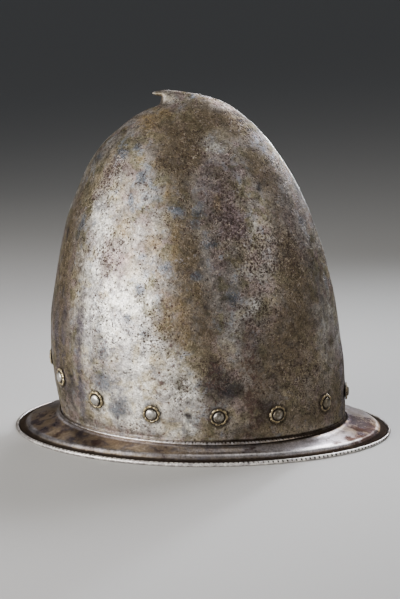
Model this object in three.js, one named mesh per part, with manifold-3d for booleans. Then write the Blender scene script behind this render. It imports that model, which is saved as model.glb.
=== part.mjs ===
// Cabasset helmet: one raised steel plate with a ring of lining rivets on brass rosettes.
// Millimetres, +Z up, +X towards the front. The origin is on the resting plane, under the middle of the brim.

import * as THREE from "three";
import { mergeVertices } from "three/addons/utils/BufferGeometryUtils.js";
import Module from "manifold-3d";

const wasm = await Module();
wasm.setup();

// Plate and facets
const plateThickness = 1.0;
const aroundSteps = 52; // corners round the helmet; one lies on the keel at the front and one at the rear
const frontFullness = 1.86; // 2 is an ellipse, less is a more pointed front half
const rearFullness = 2.03;
const widestAt = 0.495; // where a section is widest, as a share of its length from the rear
const keelReach = 14; // how far sideways the keel's ridge fades into the crown

// Brim
const brimLength = 320;
const brimWidth = 233;
const brimWidestX = -6.5;
const brimFrontFullness = 1.77;
const brimRearFullness = 2.0;
const borderGrowth = 0.25; // the recessed border is this much wider at the two tips than at the sides

// Rivets and rosettes
const shankRadius = 1.7;
const fitGap = 0.3; // between pieces that touch
const rosetteRadius = 7.6;
const rosettePetals = 8;
const notchDepth = 0.9;
const rosetteHeight = 1.3;
const rosetteSeatHeight = 0.7; // the flat floor of the dish, under the rivet's head
const headRadius = 4.4;
const headHeight = 2.6;
const tailRadius = 3.0;
const tailHeight = 1.2;
const washerSides = 3 * rosettePetals;
const rivetSides = 8;

// Turns rows of numbers into objects whose fields are the named columns.
function table(columns, rows) {
  const names = columns.split(" ");
  return rows.map((row) =>
    Object.fromEntries(names.map((name, i) => [name, row[i]])),
  );
}

// Sections of the crown, from the foot up to the tip of the backward stalk. Each one runs between a front
// point and a rear point on the middle plane, so the sections of the stalk lean until they stand upright.
const crownSections = table("frontX frontZ rearX rearZ halfWidth keel", [
  [121.6, 14.6, -120.8, 16.8, 95.5, 1.0],
  [121.2, 27.0, -124.0, 30.0, 98.5, 1.0],
  [120.8, 42.0, -127.2, 48.0, 100.3, 1.2],
  [119.0, 66.0, -129.2, 70.0, 101.0, 1.6],
  [115.2, 90.0, -129.6, 92.0, 99.8, 1.8],
  [110.3, 120.0, -126.2, 120.0, 96.5, 2.0],
  [103.0, 150.0, -121.0, 150.0, 91.0, 2.2],
  [92.7, 180.0, -114.2, 180.0, 82.5, 2.4],
  [81.4, 205.0, -104.5, 205.0, 72.5, 2.4],
  [70.2, 225.0, -95.2, 225.0, 61.5, 2.4],
  [56.2, 245.0, -81.0, 245.0, 47.5, 2.2],
  [45.5, 257.0, -68.5, 256.0, 37.0, 2.0],
  [34.8, 266.3, -56.5, 265.0, 28.0, 1.6],
  [22.0, 275.4, -46.5, 270.4, 20.5, 1.2],
  [7.5, 281.3, -40.6, 272.6, 14.0, 0.8],
  [-6.0, 284.3, -36.6, 274.3, 9.5, 0.4],
  [-16.0, 285.8, -34.9, 276.6, 6.8, 0.2],
  [-23.0, 286.5, -34.4, 279.2, 5.0, 0],
  [-29.0, 286.9, -34.0, 281.2, 3.9, 0],
  [-34.0, 286.6, -35.6, 281.9, 3.1, 0],
  [-38.0, 285.8, -38.4, 282.5, 2.3, 0],
  [-41.2, 284.9, -41.3, 283.4, 1.2, 0],
]);
const stalkTip = new THREE.Vector3(-42, 0, 284.2);
const hollowSections = 15; // this many sections, counted from the foot, have the hollow inside them
const hollowTop = new THREE.Vector3(-16, 0, 279.3);

// Rows of the brim. An edge row is measured inwards from the outermost line of the brim and up from the
// resting plane; a foot row is measured outwards and down from the line where the crown meets the brim.
const brimTop = table("from across height", [
  ["foot", 1.7, -0.9],
  ["foot", 3.1, -3.0],
  ["edge", 10.8, 8.1],
  ["edge", 8.2, 6.7],
  ["edge", 6.1, 4.0],
  ["edge", 3.7, 2.7],
  ["edge", 2.7, 3.0],
  ["edge", 1.6, 3.3],
  ["edge", 0.5, 2.8],
  ["edge", 0.0, 1.7],
  ["edge", 0.4, 0.6],
  ["edge", 1.0, 0.0],
]);
const brimUnder = table("from across height", [
  ["edge", 2.3, 0.0],
  ["edge", 3.3, 0.9],
  ["edge", 4.2, 1.7],
  ["edge", 6.7, 3.0],
  ["edge", 8.8, 5.6],
  ["edge", 11.3, 7.1],
  ["foot", 2.5, -4.0],
]);
const innerFoot = { inward: 1.0, drop: 0.5 };

// Rivets of the right-hand side with the two on the middle plane. The turn is measured from the front.
const rivetPlaces = table("turn height", [
  [0, 35.5],
  [27, 36.5],
  [53.5, 35.5],
  [77, 36.7],
  [102.5, 37.8],
  [127.2, 43.4],
  [152, 53.0],
  [180, 58.0],
]);

// A point of a section, at an angle measured from its front end.
function sectionPoint(section, angle) {
  const front = new THREE.Vector3(section.frontX, 0, section.frontZ);
  const rear = new THREE.Vector3(section.rearX, 0, section.rearZ);
  const middle = rear.clone().lerp(front, widestAt);
  const cosine = Math.cos(angle);
  const fullness = cosine > 0 ? frontFullness : rearFullness;
  const across = Math.sqrt(Math.max(0, 1 - Math.abs(cosine) ** fullness));
  const y = section.halfWidth * Math.sign(Math.sin(angle)) * across;
  const end = cosine > 0 ? front : rear;
  const reach = end.distanceTo(middle);
  const ridge = section.keel * (1 - Math.exp(-Math.abs(y) / keelReach));
  const point = middle.lerp(end, (Math.abs(cosine) * (reach - ridge)) / reach);
  point.y = y;
  return point;
}

// A point of the brim's outermost line, on the resting plane.
function brimPoint(angle) {
  const cosine = Math.cos(angle);
  const fullness = cosine > 0 ? brimFrontFullness : brimRearFullness;
  const end = (Math.sign(cosine) * brimLength) / 2;
  const across = Math.sqrt(Math.max(0, 1 - Math.abs(cosine) ** fullness));
  return new THREE.Vector3(
    brimWidestX + (end - brimWidestX) * Math.abs(cosine),
    (brimWidth / 2) * Math.sign(Math.sin(angle)) * across,
    0,
  );
}

const angles = Array.from(
  { length: aroundSteps },
  (_, i) => (2 * Math.PI * i) / aroundSteps,
);
const footRing = angles.map((angle) => sectionPoint(crownSections[0], angle));
const brimRing = angles.map(brimPoint);

function brimRow(row) {
  return angles.map((angle, i) => {
    const foot = footRing[i];
    const edge = brimRing[i];
    const inward = new THREE.Vector3(foot.x - edge.x, foot.y - edge.y, 0).normalize();
    if (row.from === "foot") {
      const point = foot.clone().addScaledVector(inward, -row.across);
      point.z += row.height;
      return point;
    }
    const widening = 1 + borderGrowth * Math.cos(angle) ** 4;
    const point = edge.clone().addScaledVector(inward, row.across * widening);
    point.z = row.height;
    return point;
  });
}

// Moves each corner of a ring inwards, square to the surface that it and its two neighbours span.
function insetRing(below, ring, above, distance) {
  return ring.map((point, i) => {
    const next = ring[(i + 1) % aroundSteps];
    const last = ring[(i + aroundSteps - 1) % aroundSteps];
    const around = next.clone().sub(last);
    const upward = above[i].clone().sub(below[i]);
    const inward = upward.cross(around).normalize();
    return point.clone().addScaledVector(inward, distance);
  });
}

// A closed body through rings of equal length, from one pole to the other.
function loft(firstPole, rings, lastPole) {
  const count = rings[0].length;
  const points = [firstPole, ...rings.flat(), lastPole];
  const lastIndex = points.length - 1;
  const triangles = [];
  for (let i = 0; i < count; i++) {
    const j = (i + 1) % count;
    triangles.push(0, 1 + i, 1 + j);
    for (let r = 0; r + 1 < rings.length; r++) {
      const a = 1 + r * count;
      const b = a + count;
      triangles.push(a + i, b + i, b + j);
      triangles.push(a + i, b + j, a + j);
    }
    const top = 1 + (rings.length - 1) * count;
    triangles.push(top + i, lastIndex, top + j);
  }
  const geometry = new THREE.BufferGeometry().setFromPoints(points);
  geometry.setIndex(triangles);
  return geometry;
}

// The whole plate without its holes: down the outside, under the brim and up the inside.
function plateGeometry() {
  const crownRings = crownSections.map((section) =>
    angles.map((angle) => sectionPoint(section, angle)),
  );
  const insideFoot = footRing.map((foot, i) => {
    const inward = foot.clone().setZ(0).normalize().multiplyScalar(-innerFoot.inward);
    return foot.clone().add(inward).setZ(foot.z - innerFoot.drop);
  });
  const insideRings = crownRings
    .slice(1, hollowSections)
    .map((ring, r) =>
      insetRing(crownRings[r], ring, crownRings[r + 2], plateThickness),
    );
  const rings = [
    ...crownRings.reverse(),
    ...brimTop.map(brimRow),
    ...brimUnder.map(brimRow),
    insideFoot,
    ...insideRings,
  ];
  return loft(stalkTip, rings, hollowTop);
}

// Where a rivet stands on the outside of the crown, and which way it points.
function wallPlace(turn, height) {
  const angle = -THREE.MathUtils.degToRad(turn);
  const above = crownSections.findIndex(
    (section) => sectionPoint(section, angle).z > height,
  );
  const low = crownSections[above - 1];
  const high = crownSections[above];
  const bottom = sectionPoint(low, angle);
  const top = sectionPoint(high, angle);
  const point = bottom.clone().lerp(top, (height - bottom.z) / (top.z - bottom.z));
  const step = 0.02;
  const around = sectionPoint(low, angle + step).sub(sectionPoint(low, angle - step));
  const normal = around.cross(top.sub(bottom)).normalize();
  return { point, normal };
}

function solidOf(geometry) {
  const bare = geometry.index ? geometry.clone() : mergeVertices(geometry);
  bare.deleteAttribute("normal");
  bare.deleteAttribute("uv");
  const merged = mergeVertices(bare, 1e-4);
  return new wasm.Manifold(
    new wasm.Mesh({
      numProp: 3,
      vertProperties: merged.attributes.position.array,
      triVerts: new Uint32Array(merged.index.array),
    }),
  );
}

function geometryOf(solid) {
  const mesh = solid.getMesh();
  const geometry = new THREE.BufferGeometry();
  geometry.setAttribute("position", new THREE.BufferAttribute(mesh.vertProperties, 3));
  geometry.setIndex(new THREE.BufferAttribute(mesh.triVerts, 1));
  return geometry;
}

// Turns a piece whose axis is +Y so that it points along the normal, at a distance out from the wall.
function placeOnWall(object, place, distance) {
  object.quaternion.setFromUnitVectors(new THREE.Vector3(0, 1, 0), place.normal);
  object.position.copy(place.point).addScaledVector(place.normal, distance);
  object.updateMatrix();
  return object;
}

// A straight cutter through the wall, wider than the shank by the gap.
function holeCutter(place) {
  const drill = new THREE.CylinderGeometry(
    shankRadius + fitGap,
    shankRadius + fitGap,
    8 * plateThickness,
    rivetSides,
  );
  const cutter = placeOnWall(new THREE.Object3D(), place, 0);
  return solidOf(drill.applyMatrix4(cutter.matrix));
}

// Dished washer with petals: the corners between petals are drawn in towards the axis.
function rosetteGeometry() {
  const hole = shankRadius + fitGap;
  const profile = [
    [hole, 0],
    [rosetteRadius, 0],
    [headRadius + 1.6, rosetteHeight],
    [headRadius + 0.5, rosetteSeatHeight],
    [hole, rosetteSeatHeight],
    [hole, 0],
  ].map(([radius, height]) => new THREE.Vector2(radius, height));
  const geometry = new THREE.LatheGeometry(profile, washerSides);
  const position = geometry.attributes.position;
  const sidesPerPetal = washerSides / rosettePetals;
  const cornersPerTurn = profile.length;
  for (let i = 0; i < position.count; i++) {
    const corner = Math.floor(i / cornersPerTurn);
    const radius = Math.hypot(position.getX(i), position.getZ(i));
    if (corner % sidesPerPetal || radius < rosetteRadius - 1) continue;
    const share = (radius - notchDepth) / radius;
    position.setX(i, position.getX(i) * share);
    position.setZ(i, position.getZ(i) * share);
  }
  return geometry;
}

// Domed head, shank and hammered tail in one piece. Height 0 is the outside of the wall.
function rivetGeometry() {
  const tailTop = -plateThickness - fitGap - 0.1;
  const headBase = 2 * fitGap + rosetteSeatHeight;
  const profile = [
    [0, tailTop - tailHeight],
    [tailRadius - 0.8, tailTop - tailHeight],
    [tailRadius, tailTop - tailHeight / 2],
    [tailRadius, tailTop],
    [shankRadius, tailTop],
    [shankRadius, headBase],
    [headRadius, headBase],
    [0.88 * headRadius, headBase + 0.48 * headHeight],
    [0.5 * headRadius, headBase + 0.87 * headHeight],
    [0, headBase + headHeight],
  ].map(([radius, height]) => new THREE.Vector2(radius, height));
  return new THREE.LatheGeometry(profile, rivetSides);
}

const steel = new THREE.MeshStandardMaterial({ color: 0x8d8579, roughness: 0.5, metalness: 1 });
const brass = new THREE.MeshStandardMaterial({ color: 0x8c713c, roughness: 0.5, metalness: 1 });
const iron = new THREE.MeshStandardMaterial({ color: 0xa39f92, roughness: 0.42, metalness: 1 });

const helmet = new THREE.Group();

// The places of the right-hand side, then the same places mirrored to the left without the middle two.
const middle = (place) => place.turn === 0 || place.turn === 180;
const mirrored = rivetPlaces
  .filter((place) => !middle(place))
  .reverse()
  .map((place) => ({ turn: -place.turn, height: place.height }));
const places = [...rivetPlaces, ...mirrored].map((place) =>
  wallPlace(place.turn, place.height),
);

const plate = places.reduce(
  (solid, place) => solid.subtract(holeCutter(place)),
  solidOf(plateGeometry()),
);
const skull = new THREE.Mesh(geometryOf(plate), steel);
skull.name = "skull";
helmet.add(skull);

places.forEach((place, i) => {
  const number = String(i + 1).padStart(2, "0");
  const rosette = new THREE.Mesh(rosetteGeometry(), brass);
  rosette.name = "rosette_" + number;
  helmet.add(placeOnWall(rosette, place, fitGap));
  const rivet = new THREE.Mesh(rivetGeometry(), iron);
  rivet.name = "lining_rivet_" + number;
  helmet.add(placeOnWall(rivet, place, 0));
});

export default helmet;
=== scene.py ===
# Cabasset helmet, dressed: the hammered plate, its roped edge, brass rosettes and domed lining rivets.
# Metres, +Z up, +X towards the front. A turn is in degrees from the front, positive on the wearer's right.

import math
import bpy
import numpy as np
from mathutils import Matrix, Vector


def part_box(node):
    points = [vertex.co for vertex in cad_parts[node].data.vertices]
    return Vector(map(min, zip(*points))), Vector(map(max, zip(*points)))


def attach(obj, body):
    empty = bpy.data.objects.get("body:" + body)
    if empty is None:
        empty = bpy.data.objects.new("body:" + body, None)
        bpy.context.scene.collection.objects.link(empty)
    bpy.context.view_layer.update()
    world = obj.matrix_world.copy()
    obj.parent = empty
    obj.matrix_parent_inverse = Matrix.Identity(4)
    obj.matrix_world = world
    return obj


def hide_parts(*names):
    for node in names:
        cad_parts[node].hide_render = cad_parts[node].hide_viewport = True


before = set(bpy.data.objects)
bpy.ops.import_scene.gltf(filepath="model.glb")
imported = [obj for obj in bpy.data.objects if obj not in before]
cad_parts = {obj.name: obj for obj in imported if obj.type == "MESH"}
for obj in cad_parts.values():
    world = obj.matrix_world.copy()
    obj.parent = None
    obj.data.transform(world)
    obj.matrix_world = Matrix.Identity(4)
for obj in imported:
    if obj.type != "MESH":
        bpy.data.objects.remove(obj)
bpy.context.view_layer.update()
skullLow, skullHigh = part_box("skull")
print("frame loaded,", len(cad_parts), "nodes")


# Tables, curves and meshes

def unit(vectors):
    return vectors / np.maximum(np.linalg.norm(vectors, axis=-1, keepdims=True), 1e-12)


# Runs a cubic through every key. Each slope is the harmonic mean of the slopes on its two sides, or level
# where they differ in sign, so that the curve never overshoots a key.
def throughKeys(keys, places, at):
    wide = (-1,) + (1,) * (keys.ndim - 1)
    gap = np.diff(places)
    rise = np.diff(keys, axis=0) / gap.reshape(wide)
    product = rise[:-1] * rise[1:]
    total = np.where(product > 0, rise[:-1] + rise[1:], 1)
    slope = np.concatenate([rise[:1], np.where(product > 0, 2 * product / total, 0), rise[-1:]])
    i = np.clip(np.searchsorted(places, at, side="right") - 1, 0, len(gap) - 1)
    step = gap[i].reshape(wide)
    t = ((at - places[i]) / gap[i]).reshape(wide)
    return (
        (2 * t**3 - 3 * t**2 + 1) * keys[i]
        + (t**3 - 2 * t**2 + t) * step * slope[i]
        + (3 * t**2 - 2 * t**3) * keys[i + 1]
        + (t**3 - t**2) * step * slope[i + 1]
    )


# The places of steps between keys: parts[i] steps lead from key i to the next one.
def stepsBetween(places, parts):
    pieces = [
        np.linspace(places[i], places[i + 1], count, endpoint=False)
        for i, count in enumerate(parts)
    ]
    return np.concatenate(pieces + [places[-1:]])


# How far along a row of keys each one lies, by straight lines between neighbours.
def lengthAlong(keys):
    step = np.linalg.norm(np.diff(keys.reshape(len(keys), -1), axis=0), axis=1)
    return np.concatenate([[0], np.cumsum(step)])


# Normals of a grid of rings by the cross product of its two directions.
def gridNormals(rings):
    around = np.roll(rings, -1, axis=1) - np.roll(rings, 1, axis=1)
    along = np.gradient(rings, axis=0)
    return unit(np.cross(around, along))


# A smooth mesh through rings of equal length. It is closed by a pole at each end, or else the last ring
# joins the first one, as on a tube that runs round the helmet.
def meshOfRings(name, rings, firstPole=None, lastPole=None):
    count, around = rings.shape[:2]
    poles = firstPole is not None
    first = 1 if poles else 0
    rows = np.arange(count - 1 if poles else count)[:, None]
    here = np.arange(around)[None]
    beside = (here + 1) % around
    nextRow = (rows + 1) % count
    quads = np.stack(
        [rows * around + here, nextRow * around + here, nextRow * around + beside, rows * around + beside],
        -1,
    ).reshape(-1, 4) + first
    points = rings.reshape(-1, 3)
    corners = quads.ravel()
    sizes = np.full(len(quads), 4)
    if poles:
        points = np.concatenate([[firstPole], points, [lastPole]])
        start = np.stack([np.zeros(around, int), 1 + here[0], 1 + beside[0]], -1)
        top = 1 + (count - 1) * around
        finish = np.stack([top + here[0], np.full(around, len(points) - 1), top + beside[0]], -1)
        corners = np.concatenate([start.ravel(), corners, finish.ravel()])
        sizes = np.concatenate([np.full(around, 3), sizes, np.full(around, 3)])
    mesh = bpy.data.meshes.new(name)
    mesh.vertices.add(len(points))
    mesh.vertices.foreach_set("co", points.astype(np.float32).ravel())
    mesh.loops.add(len(corners))
    mesh.loops.foreach_set("vertex_index", corners.astype(np.int32))
    mesh.polygons.add(len(sizes))
    mesh.polygons.foreach_set("loop_start", np.concatenate([[0], np.cumsum(sizes)[:-1]]).astype(np.int32))
    mesh.polygons.foreach_set("use_smooth", np.ones(len(sizes), bool))
    mesh.update(calc_edges=True)
    mesh.validate()
    piece = bpy.data.objects.new(name, mesh)
    bpy.context.scene.collection.objects.link(piece)
    return piece


def setAttribute(piece, name, values):
    layer = piece.data.attributes.new(name, "FLOAT", "POINT")
    layer.data.foreach_set("value", np.ascontiguousarray(values, np.float32).ravel())


# Crown and brim: the same sections and rows as the solids

crown = {
    "sections": [  # frontX frontZ rearX rearZ halfWidth keel, from the foot up to the tip of the stalk
        (.1216, .0146, -.1208, .0168, .0955, .0010),
        (.1212, .0270, -.1240, .0300, .0985, .0010),
        (.1208, .0420, -.1272, .0480, .1003, .0012),
        (.1190, .0660, -.1292, .0700, .1010, .0016),
        (.1152, .0900, -.1296, .0920, .0998, .0018),
        (.1103, .1200, -.1262, .1200, .0965, .0020),
        (.1030, .1500, -.1210, .1500, .0910, .0022),
        (.0927, .1800, -.1142, .1800, .0825, .0024),
        (.0814, .2050, -.1045, .2050, .0725, .0024),
        (.0702, .2250, -.0952, .2250, .0615, .0024),
        (.0562, .2450, -.0810, .2450, .0475, .0022),
        (.0455, .2570, -.0685, .2560, .0370, .0020),
        (.0348, .2663, -.0565, .2650, .0280, .0016),
        (.0220, .2754, -.0465, .2704, .0205, .0012),
        (.0075, .2813, -.0406, .2726, .0140, .0008),
        (-.0060, .2843, -.0366, .2743, .0095, .0004),
        (-.0160, .2858, -.0349, .2766, .0068, .0002),
        (-.0230, .2865, -.0344, .2792, .0050, 0),
        (-.0290, .2869, -.0340, .2812, .0039, 0),
        (-.0340, .2866, -.0356, .2819, .0031, 0),
        (-.0380, .2858, -.0384, .2825, .0023, 0),
        (-.0412, .2849, -.0413, .2834, .0012, 0),
    ],
    "stalkTip": (-.0420, 0, .2842),
    "frontFullness": 1.86,  # 2 is an ellipse, less is a more pointed front half
    "rearFullness": 2.03,
    "widestAt": .495,  # as a share of a section's length from the rear
    "keelReach": .014,  # how far sideways the keel's ridge fades away
    "columns": 540,
    "stepsLow": 5,  # rings between two sections below the shoulder of the crown
    "stepsHigh": 4,  # rings between two sections from there to the tip
    "shoulderSection": 11,
    "wallSection": 14,  # the wall rises all the way up to this section, so a height gives a place on it
    "hollowSection": 14,  # the hollow's last ring lies at or under this section
    "hollowRows": (2, 3),  # its first ring and its step from ring to ring, counted on the outside
    "hollowTop": (-.0160, 0, .2793),
    "thickness": .0010,
}

angles = 2 * np.pi * np.arange(crown["columns"]) / crown["columns"]


# A section runs from a rear point to a front point on the middle plane. Sideways it is its half width times
# the root of one less the cosine's power; the keel adds a ridge that fades with the distance sideways.
def crownRings(sections, angle):
    front, rear = sections[:, None, 0:2], sections[:, None, 2:4]
    cosine = np.cos(angle)[None]
    ahead = cosine > 0
    fullness = np.where(ahead, crown["frontFullness"], crown["rearFullness"])
    across = np.sqrt(np.clip(1 - np.abs(cosine) ** fullness, 0, None))
    sideways = sections[:, 4:5] * np.sign(np.sin(angle))[None] * across
    middle = rear + crown["widestAt"] * (front - rear)
    toEnd = np.where(ahead[..., None], front, rear) - middle
    reach = np.linalg.norm(toEnd, axis=-1)
    ridge = sections[:, 5:6] * (1 - np.exp(-np.abs(sideways) / crown["keelReach"]))
    level = middle + toEnd * (np.abs(cosine) * (reach - ridge) / reach)[..., None]
    return np.stack([level[..., 0], sideways, level[..., 1]], -1)


crownKeys = np.array(crown["sections"])
keyPlaces = lengthAlong(crownKeys[:, :4])
shoulder = crown["shoulderSection"]
crownParts = [crown["stepsLow"]] * shoulder + [crown["stepsHigh"]] * (len(crownKeys) - 1 - shoulder)
crownPlaces = stepsBetween(keyPlaces, crownParts)


# The number of the ring on which a section lies.
def ringOf(section):
    return sum(crownParts[:section])


smoothCrown = crownRings(throughKeys(crownKeys, keyPlaces, crownPlaces), angles)
footRing = smoothCrown[0]
crownNormals = gridNormals(smoothCrown)
print("crown sections carried to", len(smoothCrown), "rings")

brim = {
    "widestX": -.0065,
    "frontFullness": 1.77,
    "rearFullness": 2.0,
    "borderGrowth": .25,  # the recessed border is this much wider at the two tips than at the sides
    "tipDrop": .22,  # the ridges and the border are this much lower at the tips, as a share
    "tipsFrom": .35,  # the cosine of the angle at which that drop begins
    # Rows of the upper side. A foot row is measured outwards and down from the crown's foot; an edge row
    # inwards from the outermost line and up from the resting plane. Worn is bare metal, partly a painted
    # highlight; grime is dirt, and in the crease at the crown's foot also painted shade.
    "footRows": [  # across height worn grime
        (.0004, -.0004, .30, .75),
        (.0007, -.0010, .00, 1.0),
        (.0014, -.0022, .00, 1.0),
        (.0026, -.0032, .10, .80),
        (.0038, -.0037, .35, .20),
        (.0056, -.0044, .25, .10),
    ],
    "edgeRows": [
        (.0122, .0088, .30, .05),
        (.0104, .0080, .55, .00),
        (.0093, .0074, .95, .00),
        (.0083, .0064, .80, .00),
        (.0072, .0049, .40, .50),
        (.0061, .0037, .10, .85),
        (.0049, .0029, .00, 1.0),
        (.0038, .0026, .00, 1.0),
        (.0029, .0022, .10, 1.0),
        (.0022, .0017, .10, .80),
    ],
    "underRows": [
        (.0029, .0011, .10, .80),
        (.0040, .0015, .10, .60),
        (.0067, .0029, .20, .40),
        (.0090, .0055, .20, .40),
        (.0113, .0071, .20, .30),
    ],
    "underDirt": .3,
    "underHollow": .6,  # how much the underside looks like the inside
    # How bare the slope between foot and border is, by turn, and which rows of the upper side lie on it.
    "slopeWorn": [
        (-180, .20), (-120, .35), (-60, .40), (-26, .62), (-10, .40), (0, .16), (10, .14), (22, .42),
        (34, .88), (52, .95), (62, .75), (72, .40), (90, .25), (118, .12), (140, .08), (160, .10),
        (180, .20),
    ],
    "slopeRows": (5, 6),
    # How much of the dirt and painted shade in the crease at the crown's foot is left, by turn, how many
    # rows from the foot outwards lie in it, and its shares on the last two rings of the crown.
    "creaseDirtAndShade": [
        (-180, .6), (-60, .7), (0, .6), (20, .8), (50, 1), (70, 1), (84, .75), (98, .30), (130, .25),
        (160, .5), (180, .6),
    ],
    "creaseRows": 5,
    "shadeAndDirtAboveFoot": (.90, .12),
    # How bare the band beside the bead at the crown's foot is, by turn, and its rows.
    "bandWorn": [
        (-180, .3), (-120, .6), (-60, .3), (60, .3), (80, .45), (98, .85), (140, .95), (165, .6), (180, .4),
    ],
    "bandRows": (3, 4),
    # How far the crest of the ridge is rubbed pale and given a painted highlight, by turn, its row, and how
    # much less that is a row away.
    "crestBareAndHighlight": [
        (-180, 0), (-100, .2), (-30, .2), (0, .1), (20, .2), (30, .9), (58, 1), (74, .55), (88, .15),
        (105, .1), (180, 0),
    ],
    "crestRow": 8,
    "crestFade": 1.3,
    # How far the ridges are rubbed bare, by turn; the bare metal is partly a painted highlight.
    "rubbedAndHighlight": [
        (-180, .15), (-165, .3), (-60, .5), (-26, .75), (-8, .60), (8, .45), (20, .7), (32, 1), (62, 1),
        (78, .70), (95, .60), (120, .70), (150, .75), (168, .70), (180, .55),
    ],
    "stains": [  # x y reach rust dark
        (.140, -.036, .012, 1.0, .3), (.147, -.020, .012, 1.0, .4), (.134, -.022, .010, .9, .2),
        (.129, -.048, .010, .8, .2), (.142, -.004, .009, .9, .4), (.124, -.026, .006, .2, .6),
        (.126, -.010, .005, .1, .9), (.136, -.030, .005, .2, .9), (.131, -.016, .004, .9, .3),
        (.121, -.034, .004, .3, .7), (.118, -.058, .009, .6, .1), (.132, -.006, .012, .3, .8),
        (.143, .010, .014, .5, .5), (.128, .004, .016, .1, .9), (.122, -.014, .010, .1, .7),
        (-.140, -.030, .010, .5, .6), (-.128, -.050, .009, .3, .9), (-.112, -.066, .008, .6, .4),
        (-.098, -.078, .008, .3, .8), (-.120, -.044, .007, .1, .9), (-.110, -.054, .006, .4, .6),
        (-.092, -.070, .007, .1, .7), (-.134, -.036, .006, .1, .8), (-.134, -.012, .012, .5, .5),
        (-.080, -.090, .014, .5, .1), (-.020, -.104, .012, .5, .1), (.020, -.104, .014, .4, .0),
        (.050, -.092, .014, .5, .1), (-.060, -.095, .010, .2, .4), (.100, .068, .020, .5, .4),
        (.030, .100, .024, .6, .3), (-.040, .100, .020, .4, .6), (-.100, .070, .020, .6, .4),
        (-.142, .020, .014, .5, .5),
    ],
    "underFoot": (.0025, -.0040),  # where the underside turns up into the hollow
    "innerFoot": (-.0010, -.0005),
    "topParts": [1, 2, 2, 2, 2, 4, 2, 2, 2, 2, 2, 2, 2, 1, 1],
    "underParts": [1, 2, 2, 1, 3, 2],
}


# The value that a table by turn gives at each angle.
def byTurn(table, angle):
    return np.interp((180 - np.degrees(angle)) % 360 - 180, *np.array(table).T)


# The outermost line of the brim: an oval in two halves, each running out to its own tip.
def brimLine(angle):
    cosine = np.cos(angle)
    ahead = cosine > 0
    fullness = np.where(ahead, brim["frontFullness"], brim["rearFullness"])
    across = np.sqrt(np.clip(1 - np.abs(cosine) ** fullness, 0, None))
    end = np.where(ahead, skullHigh.x, skullLow.x)
    x = brim["widestX"] + (end - brim["widestX"]) * np.abs(cosine)
    return np.stack([x, skullHigh.y * np.sign(np.sin(angle)) * across, 0 * x], -1)


# Nothing along the sides, growing to one at the two tips.
def towardsTips(angle):
    return np.clip((np.abs(np.cos(angle)) - brim["tipsFrom"]) / (1 - brim["tipsFrom"]), 0, 1)


# Rings of the brim for rows measured from the foot or from the outermost line.
def brimRings(foot, edge, angle, rows, fromFoot):
    inward = foot - edge
    inward[:, 2] = 0
    inward = unit(inward)
    widening = 1 + brim["borderGrowth"] * np.cos(angle) ** 4
    rings = []
    for across, height in rows:
        if fromFoot:
            ring = foot - inward * across
            ring[:, 2] += height
        else:
            ring = edge + inward * (across * widening)[:, None]
            ring[:, 2] = height * (1 - brim["tipDrop"] * towardsTips(angle))
        rings.append(ring)
    return np.array(rings)


brimEdge = brimLine(angles)
footRows, edgeRows, underRows = (
    np.array(brim[key]) for key in ("footRows", "edgeRows", "underRows")
)
topKeys = np.concatenate([
    brimRings(footRing, brimEdge, angles, footRows[:, :2], True),
    brimRings(footRing, brimEdge, angles, edgeRows[:, :2], False),
])
topFinish = np.concatenate([footRows[:, 2:], edgeRows[:, 2:]])
topPlaces = np.arange(len(topKeys), dtype=float)
topAt = stepsBetween(topPlaces, brim["topParts"])
topRings = throughKeys(topKeys, topPlaces, topAt)
topFinish = throughKeys(topFinish, topPlaces, topAt)

underKeys = np.concatenate([
    brimRings(footRing, brimEdge, angles, underRows[:, :2], False),
    brimRings(footRing, brimEdge, angles, [brim["underFoot"], brim["innerFoot"]], True),
])
underPlaces = np.arange(len(underKeys), dtype=float)
underRings = throughKeys(underKeys, underPlaces, stepsBetween(underPlaces, brim["underParts"]))
print("brim:", len(topRings), "rings above,", len(underRings), "below")


# Unevenness and stains of the crown

hammering = {
    "seed": 11,
    "waves": 70,
    "shortest": .016,
    "longest": .075,
    "depth": .00026,  # of the marks as a whole
    "bands": [9, 13, 17, 22, 29],  # how often each faint upright band comes back in a full turn
    "bandDepth": .00016,
    "bandBend": (.3, 1.1),  # least and most that a band bends with the height
    "bandBends": (20, 45),  # least and most that the bend changes per metre
    "evenBelow": .018,  # the marks and dents fade out below this height and above the next one
    "evenAbove": .272,
    "fadeOver": .02,
    "dents": [  # turn height radius depth
        (112, .152, .016, .0007),
        (98, .098, .013, .0005),
        (76, .068, .018, .0008),
        (44, .150, .020, .0007),
        (30, .095, .016, .0005),
        (60, .205, .015, .0006),
        (128, .120, .014, .0005),
        (-70, .130, .020, .0008),
        (-118, .090, .016, .0006),
        (-40, .180, .016, .0007),
        (165, .120, .018, .0006),
    ],
}
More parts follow.
